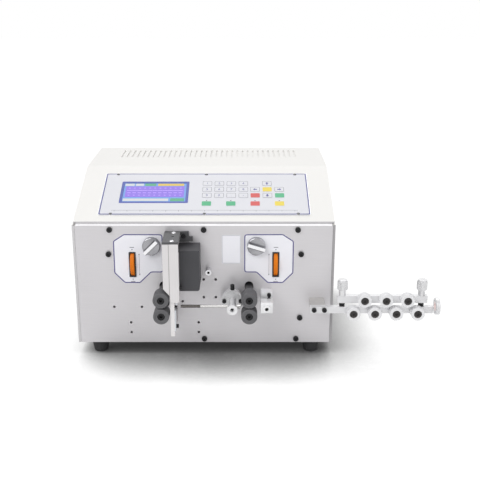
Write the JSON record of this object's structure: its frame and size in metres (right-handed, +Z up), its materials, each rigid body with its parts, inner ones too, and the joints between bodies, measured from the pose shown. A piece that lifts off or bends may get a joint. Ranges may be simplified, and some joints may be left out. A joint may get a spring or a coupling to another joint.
{
  "type": "wire cutting and stripping machine",
  "caption": "Bench-top wire cutting and stripping machine: cream hood with sloping keypad console, front plate with paired feed rollers, blade head, swinging conduit and side wire straightener",
  "frame": {"origin": "On the bench plane, under the middle of the bounding box", "axes": "+X to the operator's right along the wire line, +Y to the back of the machine, +Z up"},
  "size_m": [0.5561, 0.367, 0.2685],
  "materials": {
    "hood_paint": "textured powder coat",
    "front_steel": "brushed",
    "zinc_sheet": "zinc plated",
    "foot_rubber": "matt",
    "black_screw": "black oxide",
    "bright_screw": "bright zinc",
    "panel_metal": "satin",
    "key_film": "printed film",
    "display": "glossy",
    "black_plastic": "matt",
    "motor_black": "satin black",
    "dark_paint": "fine texture",
    "light_alloy": "satin anodised",
    "turned_steel": "turned",
    "blade_steel": "ground",
    "roller_rubber": "knurled rubber",
    "black_sleeve": "black oxide",
    "knob_chrome": "polished",
    "orange_plastic": "semi gloss",
    "ceramic": "glazed",
    "guide_plastic": "satin",
    "board_green": "solder mask"
  },
  "bodies": {
    "frame": {"chassis": "zinc_sheet", "front_plate": "front_steel", "hood": "hood_paint", "rubber_feet": "foot_rubber", "cap_screws": "black_screw", "case_screws": "bright_screw", "control_panel": "panel_metal", "keypad_overlay": "key_film", "display_module": "display", "wheel_housings": "black_plastic", "stepper_motors": "motor_black", "motor_plate": "light_alloy", "head_bracket": "dark_paint", "blade_guard": "light_alloy", "sensor_cover": "dark_paint", "blade_sensor": "board_green", "roller_bearings": "black_sleeve", "swing_bearing": "light_alloy", "swing_motor": "motor_black", "inlet_guide": "light_alloy", "straightener_block": "light_alloy", "straightener_lower_bar": "light_alloy", "eyelet_holder": "light_alloy", "wire_eyelet": "ceramic", "power_inlet": "black_plastic", "power_supply": "zinc_sheet", "control_board": "board_green"},
    "left_lower_feed": {"left_lower_roller": "roller_rubber", "left_lower_shaft": "turned_steel"},
    "left_slide": {"left_carriage": "black_sleeve"},
    "left_upper_feed": {"left_upper_roller": "roller_rubber", "left_upper_shaft": "turned_steel"},
    "left_knob": {"left_gap_knob": "knob_chrome"},
    "left_wheel": {"left_pressure_wheel": "orange_plastic"},
    "right_lower_feed": {"right_lower_roller": "roller_rubber", "right_lower_shaft": "turned_steel"},
    "right_slide": {"right_carriage": "black_sleeve"},
    "right_upper_feed": {"right_upper_roller": "roller_rubber", "right_upper_shaft": "turned_steel"},
    "right_knob": {"right_gap_knob": "knob_chrome"},
    "right_wheel": {"right_pressure_wheel": "orange_plastic"},
    "crank": {"blade_crank": "turned_steel"},
    "upper_head": {"upper_blade_holder": "light_alloy", "upper_blade": "blade_steel"},
    "lower_head": {"lower_blade_holder": "light_alloy", "lower_blade": "blade_steel"},
    "swing_arm": {"swing_shaft": "turned_steel", "conduit_tube": "turned_steel"},
    "press_bar": {"straightener_upper_bar": "light_alloy", "upper_axle_screws": "black_screw"},
    "thumb_a": {"left_thumb_screw": "turned_steel"},
    "thumb_b": {"right_thumb_screw": "turned_steel"},
    "lower_guide_1": {"lower_guide_1": "guide_plastic"},
    "lower_guide_2": {"lower_guide_2": "guide_plastic"},
    "lower_guide_3": {"lower_guide_3": "guide_plastic"},
    "lower_guide_4": {"lower_guide_4": "guide_plastic"},
    "upper_guide_1": {"upper_guide_1": "guide_plastic"},
    "upper_guide_2": {"upper_guide_2": "guide_plastic"},
    "upper_guide_3": {"upper_guide_3": "guide_plastic"},
    "rocker": {"power_rocker": "black_plastic"}
  },
  "joints": [
    {"name": "left_feed_spin", "type": "hinge", "parent": "frame", "child": "left_lower_feed", "pos_m": [-0.1389, -0.1675, 0.0871], "axis": [0, -1, 0], "continuous": true},
    {"name": "left_gap_turn", "type": "hinge", "parent": "frame", "child": "left_knob", "pos_m": [-0.1559, -0.1225, 0.181], "axis": [0, -1, 0], "range_deg": [0, 120]},
    {"name": "left_gap_lift", "type": "slide", "parent": "frame", "child": "left_slide", "axis": [0, 0, 1], "range_m": [0, 0.003]},
    {"name": "left_press_spin", "type": "hinge", "parent": "left_slide", "child": "left_upper_feed", "pos_m": [-0.1389, -0.1675, 0.1129], "axis": [0, -1, 0], "continuous": true},
    {"name": "left_pressure_turn", "type": "hinge", "parent": "frame", "child": "left_wheel", "pos_m": [-0.1859, -0.1055, 0.1505], "axis": [1, 0, 0], "range_deg": [-140, 140]},
    {"name": "right_feed_spin", "type": "hinge", "parent": "frame", "child": "right_lower_feed", "pos_m": [-0.0069, -0.1675, 0.0871], "axis": [0, -1, 0], "continuous": true},
    {"name": "right_gap_turn", "type": "hinge", "parent": "frame", "child": "right_knob", "pos_m": [0.0041, -0.1225, 0.181], "axis": [0, -1, 0], "range_deg": [0, 120]},
    {"name": "right_gap_lift", "type": "slide", "parent": "frame", "child": "right_slide", "axis": [0, 0, 1], "range_m": [0, 0.003]},
    {"name": "right_press_spin", "type": "hinge", "parent": "right_slide", "child": "right_upper_feed", "pos_m": [-0.0069, -0.1675, 0.1129], "axis": [0, -1, 0], "continuous": true},
    {"name": "right_pressure_turn", "type": "hinge", "parent": "frame", "child": "right_wheel", "pos_m": [0.0341, -0.1055, 0.1505], "axis": [1, 0, 0], "range_deg": [-140, 140]},
    {"name": "crank_turn", "type": "hinge", "parent": "frame", "child": "crank", "pos_m": [-0.1069, -0.0825, 0.15], "axis": [0, -1, 0], "range_deg": [0, 23.57]},
    {"name": "upper_blade_slide", "type": "slide", "parent": "frame", "child": "upper_head", "axis": [0, 0, -1], "range_m": [0, 0.0072]},
    {"name": "lower_blade_slide", "type": "slide", "parent": "frame", "child": "lower_head", "axis": [0, 0, 1], "range_m": [0, 0.0072]},
    {"name": "conduit_swing", "type": "hinge", "parent": "frame", "child": "swing_arm", "pos_m": [-0.0324, -0.1425, 0.1], "axis": [0, -1, 0], "range_deg": [0, 12]},
    {"name": "press_bar_slide", "type": "slide", "parent": "frame", "child": "press_bar", "axis": [0, 0, 1], "range_m": [-0.002, 0.004]},
    {"name": "thumb_a_turn", "type": "hinge", "parent": "press_bar", "child": "thumb_a", "pos_m": [0.1337, -0.1565, 0.12], "axis": [0, 0, 1], "range_deg": [-720, 1440]},
    {"name": "thumb_b_turn", "type": "hinge", "parent": "press_bar", "child": "thumb_b", "pos_m": [0.2534, -0.1565, 0.12], "axis": [0, 0, 1], "range_deg": [-721, 1441]},
    {"name": "lower_guide_1_spin", "type": "hinge", "parent": "frame", "child": "lower_guide_1", "pos_m": [0.1499, -0.1675, 0.089], "axis": [0, -1, 0], "continuous": true},
    {"name": "lower_guide_2_spin", "type": "hinge", "parent": "frame", "child": "lower_guide_2", "pos_m": [0.1821, -0.1675, 0.089], "axis": [0, -1, 0], "continuous": true},
    {"name": "lower_guide_3_spin", "type": "hinge", "parent": "frame", "child": "lower_guide_3", "pos_m": [0.2143, -0.1675, 0.089], "axis": [0, -1, 0], "continuous": true},
    {"name": "lower_guide_4_spin", "type": "hinge", "parent": "frame", "child": "lower_guide_4", "pos_m": [0.2465, -0.1675, 0.089], "axis": [0, -1, 0], "continuous": true},
    {"name": "upper_guide_1_spin", "type": "hinge", "parent": "press_bar", "child": "upper_guide_1", "pos_m": [0.166, -0.1675, 0.11], "axis": [0, -1, 0], "continuous": true},
    {"name": "upper_guide_2_spin", "type": "hinge", "parent": "press_bar", "child": "upper_guide_2", "pos_m": [0.1982, -0.1675, 0.11], "axis": [0, -1, 0], "continuous": true},
    {"name": "upper_guide_3_spin", "type": "hinge", "parent": "press_bar", "child": "upper_guide_3", "pos_m": [0.2304, -0.1675, 0.11], "axis": [0, -1, 0], "continuous": true},
    {"name": "rocker_tilt", "type": "hinge", "parent": "frame", "child": "rocker", "pos_m": [0.0441, 0.175, 0.089], "axis": [1, 0, 0], "range_deg": [-9, 9]}
  ],
  "couplings": [
    {"joint": "left_press_spin", "follows": "left_feed_spin", "ratio": -1},
    {"joint": "left_gap_turn", "follows": "left_gap_lift", "rad_per_m": 698},
    {"joint": "right_press_spin", "follows": "right_feed_spin", "ratio": -1},
    {"joint": "right_gap_turn", "follows": "right_gap_lift", "rad_per_m": 698},
    {"joint": "upper_blade_slide", "follows": "lower_blade_slide", "ratio": 1},
    {"joint": "crank_turn", "follows": "lower_blade_slide", "rad_per_m": 57.14},
    {"joint": "press_bar_slide", "follows": "thumb_a_turn", "m_per_rad": 0.000159},
    {"joint": "thumb_b_turn", "follows": "thumb_a_turn", "ratio": 1}
  ]
}
